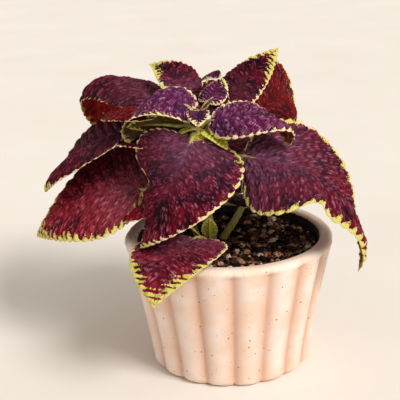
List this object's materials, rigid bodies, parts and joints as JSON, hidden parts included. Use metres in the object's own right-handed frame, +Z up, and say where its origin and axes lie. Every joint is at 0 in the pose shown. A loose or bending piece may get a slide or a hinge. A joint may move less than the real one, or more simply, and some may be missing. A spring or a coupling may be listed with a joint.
{
  "type": "potted coleus",
  "caption": "Bushy coleus with pointed, scalloped burgundy leaves edged in lime, growing from green square stems in a round fluted stoneware pot of soil.",
  "frame": {"origin": "centre of the pot's flat base, on the surface it stands on", "axes": "+Z up, -Y towards the front, +X to the right seen from the front"},
  "size_m": [0.1751, 0.1434, 0.1608],
  "materials": {
    "pot": "matte",
    "soil": "matte",
    "stem": "satin",
    "leaf": "matte",
    "young_leaf": "matte",
    "sprout": "matte"
  },
  "bodies": {
    "root": {"pot": "pot", "soil": "soil", "main_stem": "stem", "right_shoot": "stem", "left_shoot": "stem", "crown_leaf_back": "young_leaf", "crown_leaf_front": "young_leaf", "crown_leaf_rear": "young_leaf", "upper_leaf_left": "young_leaf", "upper_leaf_right": "young_leaf", "front_leaf": "leaf", "rear_leaf_right_high": "leaf", "rear_leaf_left_high": "leaf", "right_leaf": "leaf", "left_leaf_high": "leaf", "left_leaf_middle": "leaf", "left_leaf_low": "leaf", "rim_leaf": "leaf", "rear_leaf_right_drooping": "leaf", "rear_leaf_top": "leaf", "rear_leaf_right_low": "leaf", "rear_leaf_middle": "leaf", "rear_leaf_left_low": "leaf", "rear_leaf_low": "leaf", "rear_leaf_small": "young_leaf", "sprout_tall": "sprout", "sprout_short": "sprout"}
  },
  "joints": []
}
